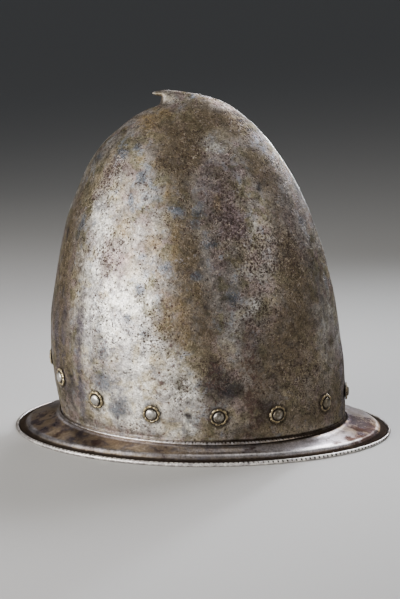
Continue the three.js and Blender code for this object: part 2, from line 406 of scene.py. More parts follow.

# The stains of the crown, charted on the right-hand side: turn height wide tall lean amount.
# Wide and tall are how far a stain reaches from its middle. Lean turns its top towards the front, in
# degrees.
charted = {
    # Bare metal, charted where the side facing the key light and the band at the foot are bright: partly
    # wear, partly a painted highlight.
    "wornAndHighlight": [
        (133, .200, .014, .020, 0, .68), (126, .187, .020, .018, 0, .64), (131, .150, .013, .040, 0, .76),
        (125, .122, .022, .034, 0, .95), (116, .138, .015, .020, 0, .58), (118, .104, .022, .024, 0, .90),
        (129, .094, .011, .026, 0, .70), (111, .128, .015, .018, 0, .60), (107, .080, .022, .022, 0, .90),
        (108, .061, .020, .013, 0, .85), (98, .060, .016, .012, 0, .90), (101, .094, .017, .018, 0, .80),
        (106, .130, .015, .018, 0, .80), (104, .206, .012, .010, 0, .45), (106, .180, .020, .014, 0, .50),
        (94, .063, .012, .012, 0, .60), (108, .026, .030, .006, 0, .80), (118, .029, .022, .007, 0, .80),
        (97, .024, .020, .006, 0, .75), (126, .032, .012, .008, 0, .60), (63, .254, .009, .007, 0, .55),
        (67, .248, .010, .006, 0, .50), (52, .190, .004, .013, 10, .55), (55, .181, .004, .010, 10, .50),
        (60, .121, .010, .008, 0, .55), (57, .126, .009, .005, 0, .55), (65, .118, .006, .002, 10, .90),
        (69, .097, .008, .012, 0, .50), (20, .120, .006, .050, 0, .45), (27, .091, .007, .040, 0, .40),
        (21, .069, .007, .030, 0, .50), (95, .045, .024, .018, 0, .80), (88, .060, .012, .022, 0, .70),
        (104, .070, .020, .030, 0, .60), (92, .026, .016, .008, 0, .70), (122, .050, .020, .020, 0, .60),
        (112, .066, .022, .014, 0, .50), (105, .040, .026, .012, 0, .70), (118, .036, .022, .012, 0, .65),
        (100, .075, .018, .018, 0, .55),
        (66, .243, .009, .014, 0, .40), (70, .222, .008, .014, 0, .42), (57, .220, .008, .016, 0, .36),
        (54, .190, .008, .018, 0, .34), (58, .155, .008, .020, 0, .30), (61, .125, .008, .020, 0, .20),
        (66, .095, .008, .016, 0, .20), (63, .070, .007, .012, 0, .20), (60, .255, .010, .008, 0, .35),
    ],
    "brown": [
        (102, .258, .012, .006, -30, .70), (92, .257, .012, .006, 0, .70), (97, .233, .009, .007, 0, .75),
        (86, .241, .012, .010, 20, .85), (82, .243, .010, .012, 0, .80), (83, .172, .008, .022, 0, .60),
        (93, .109, .008, .012, 0, .60), (89, .101, .008, .010, 0, .60), (88, .140, .010, .030, 0, .45),
        (155, .156, .006, .030, 0, .55), (150, .110, .010, .040, 0, .50), (143, .070, .008, .030, 0, .40),
        (100, .268, .016, .010, 0, .45), (75, .265, .016, .014, 0, .40), (37, .157, .014, .022, 0, .60),
        (33, .140, .014, .026, 0, .60), (38, .114, .016, .030, 0, .55), (48, .089, .020, .024, 0, .50),
        (38, .232, .012, .014, 0, .60), (40, .221, .010, .012, 0, .50), (32, .216, .010, .012, 0, .45),
        (60, .046, .020, .010, 0, .40), (30, .060, .014, .030, 0, .35), (92, .200, .009, .036, 0, .45),
        (90, .160, .009, .030, 0, .40), (86, .110, .012, .030, 0, .35), (45, .110, .030, .050, 0, .45),
        (35, .170, .020, .050, 0, .35), (58, .075, .026, .040, 0, .40), (20, .100, .016, .060, 0, .40),
        (152, .110, .018, .080, 0, .70), (160, .190, .016, .040, 0, .60), (147, .050, .012, .030, 0, .50),
        (110, .262, .024, .010, 0, .55), (70, .262, .020, .014, 0, .40), (96, .244, .014, .014, 0, .55),
        (86, .225, .010, .020, 0, .45), (40, .030, .040, .018, 0, .75), (62, .024, .020, .010, 0, .60),
        (15, .040, .020, .030, 0, .60), (25, .230, .020, .030, 0, .35), (45, .262, .030, .012, 0, .40),
        (90, .240, .010, .018, 0, .50), (88, .215, .008, .022, 0, .45), (84, .165, .008, .022, 0, .40),
        (78, .130, .008, .022, 0, .45), (78, .100, .010, .020, 0, .40), (75, .060, .012, .030, 0, .45),
        (90, .247, .018, .016, 0, .75), (84, .258, .014, .010, 0, .45), (96, .236, .014, .012, 0, .85),
        (86, .236, .014, .014, 0, .85), (87, .190, .010, .020, 0, .65), (84, .160, .010, .020, 0, .70),
        (82, .130, .010, .020, 0, .70), (80, .100, .010, .018, 0, .70), (78, .082, .012, .012, 0, .60),
        (50, .080, .024, .034, 0, .40), (36, .070, .020, .030, 0, .40), (60, .060, .016, .020, 0, .40),
        (158, .150, .010, .060, 0, .45), (37, .240, .008, .020, 0, .50), (36, .205, .010, .025, 0, .45),
        (37, .165, .012, .030, 0, .45), (40, .120, .014, .030, 0, .40), (46, .075, .018, .026, 0, .45),
        (58, .038, .020, .014, 0, .50), (60, .268, .020, .008, 0, .75), (35, .268, .020, .009, 0, .65),
        (75, .274, .016, .006, 0, .65), (25, .262, .016, .012, 0, .50), (48, .256, .016, .012, 0, .45),
        (60, .278, .014, .005, 0, .70),
    ],
    "ochre": [
        (117, .270, .011, .006, -20, .80), (140, .267, .016, .005, 0, .80), (128, .262, .016, .006, 0, .55),
        (88, .125, .007, .016, 0, .80), (87, .104, .008, .014, 0, .75), (95, .134, .006, .012, 0, .50),
        (94, .116, .006, .012, 0, .60), (90, .180, .004, .012, 0, .95), (91, .165, .005, .014, 0, .60),
        (104, .233, .005, .006, 0, .70), (116, .239, .005, .005, 0, .60), (95, .215, .005, .010, 0, .70),
        (69, .205, .005, .010, 0, .60), (55, .240, .006, .007, 0, .50), (82, .268, .007, .005, 0, .60),
        (82, .136, .005, .012, 0, .70), (65, .060, .010, .008, 0, .45), (67, .076, .008, .010, 0, .40),
        (98, .150, .005, .008, 0, .45), (98, .108, .006, .010, 0, .50), (100, .086, .005, .008, 0, .45),
        (110, .255, .016, .008, 0, .35), (145, .215, .006, .025, 0, .35), (148, .150, .006, .030, 0, .35),
        (27, .135, .008, .020, 0, .35), (60, .160, .010, .016, 0, .30), (116, .185, .012, .014, 0, .60),
        (100, .172, .011, .012, 0, .60), (112, .165, .008, .008, 0, .35), (134, .120, .006, .012, 0, .40),
        (126, .262, .012, .008, 0, .45), (140, .235, .006, .016, 20, .50), (146, .180, .005, .018, 10, .45),
    ],
    "slate": [
        (135, .240, .006, .004, 0, .80), (123, .245, .005, .004, 0, .80), (129, .239, .006, .005, 0, .60),
        (111, .220, .006, .006, 0, .70), (112, .227, .005, .006, 0, .70), (115, .207, .003, .008, 15, .85),
        (107, .199, .010, .003, 0, .55), (144, .185, .004, .007, 0, .70), (146, .172, .004, .010, 0, .60),
        (160, .232, .008, .006, 0, .70), (92, .200, .006, .006, 0, .60), (88, .200, .006, .006, 0, .60),
        (79, .200, .007, .010, 0, .55), (81, .192, .006, .008, 0, .50), (24, .208, .008, .014, 0, .35),
        (16, .187, .006, .006, 0, .70), (12, .256, .010, .016, 0, .30), (24, .244, .010, .018, 0, .30),
        (73, .174, .006, .004, 20, .80), (82, .149, .005, .003, 0, .85), (68, .134, .007, .008, 0, .75),
        (106, .161, .005, .005, 0, .70), (95, .158, .006, .004, 0, .80), (106, .140, .005, .006, -20, .85),
        (109, .144, .004, .004, 0, .60), (110, .116, .006, .005, 0, .70), (103, .103, .006, .005, 0, .70),
        (124, .103, .005, .014, 20, .60), (123, .082, .006, .008, 0, .60), (128, .080, .004, .012, 0, .50),
        (117, .085, .008, .007, 0, .50), (123, .061, .012, .011, 0, .80), (117, .037, .010, .006, 0, .85),
        (114, .048, .010, .008, 0, .60), (97, .120, .005, .014, 0, .40), (60, .098, .010, .008, 0, .40),
    ],
    "mauve": [
        (116, .155, .004, .024, 0, .60), (135, .226, .007, .010, -10, .60),
        (138, .214, .006, .009, -15, .50), (122, .158, .013, .016, 0, .70), (108, .172, .010, .012, 0, .45),
        (113, .150, .008, .012, 0, .40), (62, .194, .010, .010, 0, .85), (61, .185, .011, .012, 0, .90),
        (30, .188, .012, .012, 0, .60), (68, .215, .016, .020, 0, .60), (72, .190, .014, .020, 0, .50),
        (60, .225, .020, .014, 0, .40), (50, .170, .018, .016, 0, .40), (76, .230, .012, .014, 0, .50),
        (25, .160, .010, .020, 0, .40), (72, .150, .012, .014, 0, .40),
    ],
    "dark": [
        (111, .246, .006, .005, 0, .55), (88, .050, .003, .003, 0, .90), (88, .037, .004, .004, 0, .95),
        (87, .071, .003, .003, 0, .70), (79, .124, .003, .003, 0, .80), (69, .145, .005, .005, 0, .60),
        (77, .088, .004, .006, 0, .60), (78, .078, .007, .007, 20, .70), (75, .068, .012, .011, 0, .80),
        (72, .058, .014, .009, 10, .85), (78, .054, .008, .007, -15, .60), (68, .056, .008, .007, 0, .65),
        (82, .064, .005, .006, 0, .45), (64, .050, .009, .005, 0, .50), (55, .065, .005, .004, 0, .60),
        (58, .045, .010, .007, 0, .70), (61, .033, .008, .004, 0, .60), (19, .268, .003, .002, 0, .90),
        (24, .263, .004, .002, 0, .90), (23, .257, .004, .002, 0, .80), (42, .217, .003, .002, 0, .90),
        (43, .212, .003, .002, 0, .80), (18, .185, .004, .003, 0, .95), (161, .172, .005, .004, 0, .80),
        (160, .166, .004, .003, 0, .70), (147, .142, .003, .005, 0, .80), (161, .127, .006, .003, 0, .80),
        (152, .124, .004, .007, 0, .75), (146, .108, .003, .002, 0, .90), (141, .052, .008, .016, 20, .75),
        (146, .038, .007, .012, 20, .70), (82, .150, .004, .002, 0, .60), (73, .173, .004, .002, 0, .60),
        (43, .076, .003, .003, 0, .60), (40, .090, .004, .004, 0, .50), (136, .088, .005, .005, 0, .40),
        (50, .057, .016, .012, 0, .45), (30, .116, .004, .010, 0, .40),
    ],
    "pits": [
        (135, .228, .008, .011, -10, 1.0), (137, .215, .007, .011, -15, 1.0),
        (141, .206, .005, .007, -20, 1.0), (65, .184, .020, .022, 0, .80), (67, .214, .016, .020, 0, .70),
        (55, .160, .026, .020, 0, .60), (60, .120, .020, .020, 0, .55), (30, .170, .020, .030, 0, .60),
        (100, .100, .010, .016, 0, .55), (125, .170, .014, .026, 0, .45), (120, .110, .020, .030, 0, .30),
        (75, .240, .020, .016, 0, .50), (22, .262, .010, .010, 0, .60), (90, .060, .008, .012, 0, .70),
        (76, .072, .016, .018, 0, .60), (108, .026, .020, .006, 0, .45), (40, .060, .026, .020, 0, .45),
    ],
}

# The other sides get stains of the same kinds, drawn once from a seed: count, reach from and to, amount.
drawn = {
    "seed": 5,
    "turns": (-178, 8),
    "lowest": .030,
    "rise": .225,  # from the lowest to the highest
    "tallness": (.7, 1.8),  # as a share of the width
    "lean": 25,
    "leastShare": .6,  # of the amount
    "wornAndHighlight": (34, .010, .026, .80),
    "brown": (26, .008, .020, .60),
    "ochre": (24, .005, .011, .60),
    "slate": (30, .004, .010, .70),
    "mauve": (10, .008, .018, .60),
    "dark": (26, .003, .009, .80),
    "pits": (16, .010, .024, .70),
}

stainShape = {
    "depth": 1.5,  # how far a stain reaches in and out, as a share of its larger reach
    "steepness": 1.2,  # of its edge
}

stainKinds = list(charted)
columnStep = 360 / crown["columns"]


# Where a turn and a height lie on the crown, with the directions round, up and out there.
def wallPlaces(turn, height):
    column = np.round(-np.asarray(turn) / columnStep).astype(int) % crown["columns"]
    heights = smoothCrown[: ringOf(crown["wallSection"]), :, 2]
    row = np.array([np.interp(h, heights[:, c], np.arange(len(heights))) for c, h in zip(column, height)])
    row = np.round(row).astype(int)
    point, out = smoothCrown[row, column], crownNormals[row, column]
    forward = unit(np.cross(out, np.array([0, 0, 1.0])))
    return point, forward, unit(np.cross(forward, -out)), out


# A stain is a bell over the surface round its middle. Where two meet, the bare share left by one is
# multiplied by what the other leaves.
def stainField(points, rows):
    turn, height, wide, tall, lean, amount = np.array(rows, float).T
    middle, forward, upward, outward = wallPlaces(turn, height)
    bare = np.ones(len(points))
    lean = np.radians(lean)[:, None]
    along = np.cos(lean) * forward + np.sin(lean) * upward
    above = np.cos(lean) * upward - np.sin(lean) * forward
    for i in range(len(amount)):
        offset = points - middle[i]
        far = (
            (offset @ along[i] / wide[i]) ** 2
            + (offset @ above[i] / tall[i]) ** 2
            + (offset @ outward[i] / (stainShape["depth"] * max(wide[i], tall[i]))) ** 2
        )
        bare *= 1 - amount[i] * np.exp(-(far ** stainShape["steepness"]))
    return 1 - bare


# Stains of one kind at random places, of random reach, lean and amount.
def drawnRows(kind, random):
    count, least, most, amount = drawn[kind]
    turn = random.uniform(*drawn["turns"], count)
    height = drawn["lowest"] + drawn["rise"] * random.uniform(0, 1, count)
    wide = random.uniform(least, most, count)
    tall = wide * random.uniform(*drawn["tallness"], count)
    lean = random.uniform(-drawn["lean"], drawn["lean"], count)
    share = random.uniform(drawn["leastShare"], 1, count)
    return np.stack([turn, height, wide, tall, lean, amount * share], -1)


random = np.random.default_rng(drawn["seed"])
stainRows = {
    kind: np.concatenate([np.array(charted[kind], float), drawnRows(kind, random)]) for kind in stainKinds
}


# Upright bands from the raising of the plate: waves in the turn, each bent a little with the height.
def raisingBands(height):
    draw = np.random.default_rng(hammering["seed"] + 1)
    wave = 0
    for often in hammering["bands"]:
        phase = draw.uniform(0, 2 * np.pi)
        bend = draw.uniform(*hammering["bandBend"])
        bends = draw.uniform(*hammering["bandBends"])
        bent = phase + bend * np.sin(bends * height + phase)
        wave = wave + np.sin(often * angles[None] + bent) / math.sqrt(often)
    return wave * hammering["bandDepth"]


# Low waves of random direction and length, added up: what the hammer left uneven.
def hammerMarks(points):
    draw = np.random.default_rng(hammering["seed"])
    count = hammering["waves"]
    length = draw.uniform(hammering["shortest"], hammering["longest"], count)
    direction = unit(draw.normal(size=(count, 3)))
    phase = draw.uniform(0, 2 * np.pi, count)
    wave = np.sin(points @ (2 * np.pi * direction / length[:, None]).T + phase)
    weight = length / length.sum()
    return wave @ weight * hammering["depth"] * math.sqrt(count)


# The crown with its hammer marks and dents, which fade out at the foot and on the stalk.
def hammeredCrown():
    points = smoothCrown.reshape(-1, 3)
    height = smoothCrown[..., 2]
    fade = np.clip((height - hammering["evenBelow"]) / hammering["fadeOver"], 0, 1)
    fade *= np.clip((hammering["evenAbove"] - height) / hammering["fadeOver"], 0, 1)
    push = hammerMarks(points).reshape(height.shape) + raisingBands(height)
    turn, high, radius, depth = np.array(hammering["dents"]).T
    middle = wallPlaces(turn, high)[0]
    for centre, reach, deep in zip(middle, radius, depth):
        far = np.linalg.norm(smoothCrown - centre, axis=-1) / reach
        push -= deep * np.exp(-(far**2))
    return smoothCrown + crownNormals * (push * fade)[..., None]


# The seat of a washer: its middle, and its axis as the direction in which its corners spread least.
def seatOf(node):
    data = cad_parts[node].data
    corners = np.empty(len(data.vertices) * 3)
    data.vertices.foreach_get("co", corners)
    corners = np.unique(corners.reshape(-1, 3).round(7), axis=0)
    middle = corners.mean(axis=0)
    axis = np.linalg.svd(corners - middle)[2][2]
    if axis @ (middle - np.array([0, 0, middle[2]])) < 0:
        axis = -axis
    base = ((corners - middle) @ axis).min()
    return middle + axis * base, axis


rivetCount = sum(name.startswith("lining_rivet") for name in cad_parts)
seats = [seatOf(f"rosette_{number:02d}") for number in range(1, rivetCount + 1)]

seatDarkRing = {
    "farthest": .03,  # what a point is given that lies farther from every seat
    "under": .0006,  # how far under a washer's middle the darker ring round it is centred
}


# How far each point is from the nearest seat, counted from a little under it.
def distanceToSeats(points):
    nearest = np.full(len(points), seatDarkRing["farthest"])
    for middle, axis in seats:
        away = np.linalg.norm(points - middle + [0, 0, seatDarkRing["under"]], axis=1)
        nearest = np.minimum(nearest, away)
    return nearest


# Rust and dark spots of the brim: bells in plan, of which the strongest counts.
def brimStains(points):
    x, y, reach, *amounts = np.array(brim["stains"]).T
    far = ((points[:, None, 0] - x) ** 2 + (points[:, None, 1] - y) ** 2) / reach**2
    return [(amount * np.exp(-far)).max(axis=1) for amount in amounts]


# The keel's ridge is rubbed bare and also given a painted highlight, which grows upwards and forwards.
keelRub = {
    "reach": .0012,  # how far sideways of the keel its ridge is rubbed bare
    "strength": 1.5,
    "wholeAt": .24,  # the height from which it is rubbed in full
    "leastLow": .30,
    "atMiddle": .6,  # the share over the middle of the helmet
    "perMetre": 6,  # how much that grows towards the front
    "leastBehind": .35,
}


# The keel's bare metal and painted highlight are a bell sideways, times a share that grows upwards and
# one that grows forwards.
def keelWear(points):
    x, y, z = points.T
    ridge = keelRub["strength"] * np.exp(-((y / keelRub["reach"]) ** 2))
    upwards = np.clip(z / keelRub["wholeAt"], keelRub["leastLow"], 1)
    forwards = np.clip(keelRub["atMiddle"] + keelRub["perMetre"] * x, keelRub["leastBehind"], 1)
    return ridge * upwards * forwards


# The bare metal, partly a painted highlight, the dirt, with painted shade in the crease, and the pale
# crest, rubbed and given a painted highlight, of the brim's upper side, ring by ring: what the rows say,
# changed by turn on the slope, on the band beside the bead, in the crease and on the crest.
def brimWear():
    slope, band = (
        np.interp(topAt, topPlaces, np.isin(topPlaces, brim[key]).astype(float))[:, None]
        for key in ("slopeRows", "bandRows")
    )
    slopeWorn, bandWorn, rubbedAndHighlight, creaseDirtAndShade, crestBareAndHighlight = (
        byTurn(brim[key], angles)[None]
        for key in ("slopeWorn", "bandWorn", "rubbedAndHighlight", "creaseDirtAndShade", "crestBareAndHighlight")
    )
    wornAndHighlight = topFinish[:, :1] * rubbedAndHighlight * (1 - slope - band) + slope * slopeWorn + band * bandWorn
    inCrease = np.clip(brim["creaseRows"] - topAt, 0, 1)[:, None]
    dirtAndShade = topFinish[:, 1:] * (1 + inCrease * (creaseDirtAndShade - 1))
    fromCrest = np.abs(topAt - brim["crestRow"])[:, None]
    return wornAndHighlight, dirtAndShade, np.clip(1 - brim["crestFade"] * fromCrest, 0, 1) * crestBareAndHighlight


footFade = {
    "height": .10,  # under this height the plate grows duller and its rubbed metal gets a paler painted highlight
    "over": .06,
}


# The plate as one closed body: down the outside, over the brim, under it and up the inside.
def makePlate():
    outside = hammeredCrown()
    firstRow, rowStep = crown["hollowRows"]
    hollowRows = slice(firstRow, ringOf(crown["hollowSection"]) + 1, rowStep)
    inside = smoothCrown[hollowRows] - crownNormals[hollowRows] * crown["thickness"]
    parts = [outside[::-1], topRings, underRings, inside]
    rings = np.concatenate(parts)
    piece = meshOfRings("hammered_plate", rings, crown["stalkTip"], crown["hollowTop"])
    places = np.concatenate([[crown["stalkTip"]], rings.reshape(-1, 3), [crown["hollowTop"]]])
    partOf = np.repeat(np.arange(len(parts)), [len(part) for part in parts])
    onOutside, onTop, onUnder, onInside = (partOf == number for number in range(len(parts)))

    # Values ring by ring or point by point, with one more for the pole at each end.
    def withPoles(values, first=0, last=0):
        grid = np.broadcast_to(values.reshape(len(rings), -1), rings.shape[:2])
        return np.concatenate([[first], grid.ravel(), [last]])

    wornAndHighlight, dirtAndShade, crest = (np.zeros(rings.shape[:2]) for layer in range(3))
    wornAndHighlight[onTop], dirtAndShade[onTop], crest[onTop] = brimWear()
    dirtAndShade[onUnder] = brim["underDirt"]
    # The last rings of the crown over the crease take its dirt and painted shade too.
    for rowsUp, share in enumerate(brim["shadeAndDirtAboveFoot"], 1):
        dirtAndShade[len(outside) - rowsUp] = share * byTurn(brim["creaseDirtAndShade"], angles)
    outsideOnly = withPoles(onOutside, 1, 0)
    rust, dark = brimStains(places)
    attributes = {kind: stainField(places, stainRows[kind]) * outsideOnly for kind in stainKinds}
    attributes.update({
        "brimRust": rust,
        "brimDark": dark,
        "seatDistance": distanceToSeats(places),
        "nearFoot": outsideOnly * np.clip((footFade["height"] - places[:, 2]) / footFade["over"], 0, 1),
        "keelWorn": outsideOnly * keelWear(places),
        "brimWornAndHighlight": withPoles(wornAndHighlight),
        "dirtAndShade": withPoles(dirtAndShade),
        "shelf": withPoles(onTop | onUnder),
        "chalkyAndHighlight": withPoles(crest),
        "hollow": withPoles(onInside + brim["underHollow"] * onUnder, 0, 1),
    })
    for name, values in attributes.items():
        setAttribute(piece, name, values)
    return piece


# Roped edge and the bead at the crown's foot

ropedEdge = {
    "radius": .00165,
    "pitch": .0040,  # of the notches along the edge
    "columnsPerNotch": 8,
    "sides": 16,
    "slant": .12,  # how far a notch runs along the edge from the roll's middle to its top, in pitches
    "notchDepth": .00060,
    "notchWidth": .21,  # as a share of the pitch
    # How much of a notch is left, by turn: they are rubbed smooth along the side and sharp near the front.
    "left": [
        (-180, .5), (-140, .7), (-100, .35), (-60, .5), (-20, .8), (0, .6), (15, .75), (35, 1.0), (58, 1.0),
        (68, .7), (80, .55), (100, .45), (125, .65), (150, .65), (165, .6), (180, .5),
    ],
    # The middle of the side that has notches, by turn, and its reach, in degrees up from outwards.
    "notchedSide": [
        (-180, 60), (-100, 40), (-20, 40), (15, 20), (45, 14), (62, 30), (75, 88), (120, 80), (180, 60),
    ],
    "notchReach": 44,
    "size": [
        (-180, .72), (-150, .85), (-120, 1), (-60, 1), (-30, .85), (0, .72), (30, .9), (50, 1), (120, 1),
        (150, .85), (180, .72),
    ],
    # How far the roll is rubbed, by turn, which also sets how much pale painted highlight it takes.
    "rubbedAndHighlight": [
        (-180, .2), (-100, .5), (-30, .4), (-5, .25), (10, .35), (22, .8), (35, 1), (62, 1), (75, .75),
        (90, .80), (115, .85), (145, .75), (165, .45), (180, .2),
    ],
    "leastBare": .25,  # where it is rubbed least
    "bareBelow": .55,  # at the foot of the roll, as a share of what it is from the middle of its side up
    "notchDirt": 1.4,
    "darkBelow": .22,  # how far up the roll is darker, as a share of its height, and how dark it is there
    "darkThere": .6,
    "depthSpread": .224,  # how much shallower than the deepest a notch may be, as a share
    "jitter": .14,  # how far a notch may be out of step, in pitches
    "seed": 21,
}

footBead = {
    "across": .0017,  # of the bead's axis, out from the foot
    "drop": .0019,
    "radius": .00155,
    "pitch": .0029,
    "columnsPerNotch": 6,
    "sides": 12,
    "slant": .10,
    "notchDepth": .00050,
    "notchWidth": .20,
    "left": [
        (-180, .5), (-150, .2), (-110, .6), (-70, .3), (-30, .6), (0, .5), (20, .4), (45, .55), (62, .95),
        (80, 1.0), (100, .85), (112, .45), (130, .10), (160, .25), (180, .5),
    ],
    "notchedSide": [(-180, 88), (180, 88)],
    "notchReach": 60,
    "size": [
        (-180, .6), (-150, .5), (-60, .6), (-20, .30), (24, .30), (38, .45), (55, .85), (90, 1), (120, .95),
        (150, .6), (180, .6),
    ],
    "rubbedAndHighlight": [
        (-180, .3), (-60, .3), (-20, .05), (28, .08), (45, .30), (60, .50), (80, .65), (105, .70),
        (125, .50), (180, .3),
    ],
    # How dark the bead is made, by turn: dirt, and near the front, where the crease is in shade, painted
    # shade.
    "beadShadeAndDirt": [
        (-180, .3), (-60, .4), (-20, .8), (32, .8), (48, .35), (62, 0), (120, 0), (150, .2), (180, .3),
    ],
    "notchDirt": 1.5,
    "notchShade": 1.2,  # how much less bare a notch is
    "ridgeSide": 52,  # the side of the bead that stands free, in degrees up from outwards
    "creaseFrom": 45,  # how far from there the creases beside the bead begin, in degrees
    "creaseOver": 60,
    # how much pale painted highlight the bead takes
    "chalkyAndHighlight": .35,
    "depthSpread": .72,
    "jitter": .45,
    "seed": 34,
}


# How many whole notches go round a closed line, and the angles of the columns that they are made of, which
# lie at even steps along it, by a fine walk round the line.
def evenNotches(line, spec):
    fine = np.linspace(0, 2 * np.pi, 7201)
    length = lengthAlong(line(fine))
    notches = round(length[-1] / spec["pitch"])
    count = notches * spec["columnsPerNotch"]
    return notches, np.interp(np.arange(count) * length[-1] / count, length, fine)


# A tube round a centre line. Its radius drops in slanted notches: a notch is a bell in the place along the
# edge plus the slant times the sine of the angle round the tube. Each has its own depth and is a little out
# of step.
def notchedTube(name, centre, outward, angle, spec, notches):
    draw = np.random.default_rng(spec["seed"])
    count = len(centre)
    sides = np.arange(spec["sides"]) * 2 * np.pi / spec["sides"]
    along = np.arange(count) / count * notches
    outOfStep = draw.uniform(-.5, .5, notches + 1)
    along = along + spec["jitter"] * np.interp(along, np.arange(notches + 1), outOfStep)
    place = along[:, None] + spec["slant"] * np.sin(sides)[None]
    beside = (place + .5) % 1 - .5
    own = draw.uniform(1 - spec["depthSpread"], 1, notches + 2)[np.round(place).astype(int) % notches]
    left, middle = (byTurn(spec[key], angle)[:, None] for key in ("left", "notchedSide"))
    onSide = np.exp(-(((np.degrees(sides)[None] - middle + 180) % 360 - 180) / spec["notchReach"]) ** 2)
    notch = np.exp(-((beside / spec["notchWidth"]) ** 2)) * np.clip(own, 0, 1) * left * onSide
    radius = spec["radius"] * byTurn(spec["size"], angle)[:, None] - spec["notchDepth"] * notch
    up = np.array([0, 0, 1.0])
    rings = (
        centre[:, None]
        + outward[:, None] * (radius * np.cos(sides))[..., None]
        + up * (radius * np.sin(sides))[..., None]
    )
    return meshOfRings(name, rings), notch, rings


# What the steel reads on an edge: its own wear and dirt, with painted shade and a pale painted highlight,
# the brim's ground and none of the crown's stains.
def dressEdge(piece, wornAndHighlight, dirtAndShade, chalkyAndHighlight):
    none = 0 * wornAndHighlight
    for name in stainKinds + ["hollow", "keelWorn", "nearFoot", "brimRust", "brimDark"]:
        setAttribute(piece, name, none)
    setAttribute(piece, "seatDistance", none + seatDarkRing["farthest"])
    setAttribute(piece, "brimWornAndHighlight", wornAndHighlight)
    setAttribute(piece, "dirtAndShade", dirtAndShade)
    setAttribute(piece, "shelf", none + 1)
    setAttribute(piece, "chalkyAndHighlight", none + chalkyAndHighlight)


# The roped edge is a notched tube along the brim's outermost line, lying on the resting plane.
def makeRopedEdge():
    notches, angle = evenNotches(brimLine, ropedEdge)
    edge = brimLine(angle)
    # The tube follows the outermost line, so it is set in square to that line.
    along = np.roll(edge, -1, axis=0) - np.roll(edge, 1, axis=0)
    square = unit(np.cross(along, np.array([0, 0, 1.0])))
    radius = ropedEdge["radius"] * byTurn(ropedEdge["size"], angle)
    centre = edge - square * radius[:, None]
    centre[:, 2] = radius
    piece, notch, rings = notchedTube("roped_edge", centre, square, angle, ropedEdge, notches)
    top = np.clip(rings[..., 2] / (2 * radius[:, None]), 0, 1)
    rubbedAndHighlight = byTurn(ropedEdge["rubbedAndHighlight"], angle)[:, None]
    least = ropedEdge["leastBare"]
    wornAndHighlight = (least + (1 - least) * rubbedAndHighlight) * (1 - notch) * np.clip(ropedEdge["bareBelow"] + top, 0, 1)
    below = np.clip(ropedEdge["darkBelow"] - top, 0, 1)
    dirtAndShade = np.clip(ropedEdge["notchDirt"] * notch + ropedEdge["darkThere"] * below, 0, 1)
    dressEdge(piece, wornAndHighlight, dirtAndShade, rubbedAndHighlight)
    return piece


# The bead is a notched tube along the crown's foot, a little outwards and down from it.
def makeFootBead():
    def line(angle):
        return crownRings(crownKeys[:1], angle)[0]

    notches, angle = evenNotches(line, footBead)
    foot = line(angle)
    outward = brimLine(angle) - foot
    outward[:, 2] = 0
    outward = unit(outward)
    centre = foot + outward * footBead["across"]
    centre[:, 2] -= footBead["drop"]
    piece, notch, rings = notchedTube("foot_bead", centre, outward, angle, footBead, notches)
    # Dirt lies in the nicks; the two creases beside the bead are darkened with dirt and painted shade.
    side = (np.degrees(np.arange(footBead["sides"]) * 2 * np.pi / footBead["sides"]) + 180) % 360 - 180
    beyond = np.abs(side - footBead["ridgeSide"]) - footBead["creaseFrom"]
    crease = np.clip(beyond / footBead["creaseOver"], 0, 1)[None]
    rubbedAndHighlight, beadShadeAndDirt, creaseDirtAndShade = (
        byTurn(table, angle)[:, None]
        for table in (footBead["rubbedAndHighlight"], footBead["beadShadeAndDirt"], brim["creaseDirtAndShade"])
    )
    wornAndHighlight = np.clip(rubbedAndHighlight - footBead["notchShade"] * notch - crease, 0, 1)
    dirtAndShade = np.clip(footBead["notchDirt"] * notch + crease * creaseDirtAndShade + beadShadeAndDirt, 0, 1)
    dressEdge(piece, wornAndHighlight, dirtAndShade, footBead["chalkyAndHighlight"])
    return piece


# Rosettes and rivets

rosetteShape = {
    "petals": 8,
    "columns": 144,
    "profile": [  # radius height, from the hole round to the underside; a height is above the seat
        (.0020, .0000), (.0020, .0003), (.0024, .0005), (.0047, .0005), (.0052, .0006), (.0055, .0009),
        (.0058, .0013), (.0061, .0015), (.0065, .0016), (.0069, .0015), (.0072, .0011), (.0075, .0006),
        (.0076, .0002), (.0075, .0000), (.0060, .0000), (.0040, .0000),
    ],
    # How dark each ring of the profile is made: darkest in the hole under the rivet's head and at the outer
    # edge.
    "dirtAndShade": [1, 1, 1, 1, .95, .70, .25, .05, .0, .0, .15, .50, .9, 1, 1, 1],
    "notchDepth": .0007,
    "notchWidth": .13,  # half width as a share of a petal
    "veinDepth": .0007,
    "petalsFrom": .0052,  # the radius from which the petals show, and over how much they grow
    "petalsOver": .0020,
    "raisedAt": .0013,  # the height at which veins and worn places have their full depth
    "petalWear": .35,  # how much shallower the joints are on the side that is rubbed most
    "lostDepth": .0004,  # how much lower the part is that is worn away
    "lostShare": .25,  # of that, all round, with the rest in two waves round the ring
    "secondWave": .6,
    "lostRadius": .025,  # how much smaller the worn part is, as a share
    "outOfRound": .02,
    "veinDirt": .55,
    "lostDirt": .50,
    "seed": 3,
}

rivetShape = {
    "columns": 48,
    "profile": [  # radius height; height 0 is the outside of the wall
        (.0012, -.0026), (.0024, -.0025), (.0029, -.0021), (.0030, -.0017), (.0028, -.0014),
        (.0017, -.0014), (.0017, .0000), (.0017, .0010), (.0040, .0010), (.0044, .0011), (.0045, .0015),
        (.0044, .0020), (.0041, .0025), (.0036, .0029), (.0028, .0032), (.0017, .0034), (.0007, .0034),
    ],
    "tailEnd": -.0026,
    "crownTop": .0034,
    "gap": .0003,  # between the wall and the washer's seat
    "headFrom": .0015,
    "uneven": .00013,
    "unevenPerMetre": 1400,
    "darkUnder": .0024,  # the head is darker under this height
    "darkOver": .0010,
    "toneSpread": .1,
    "seed": 8,
}

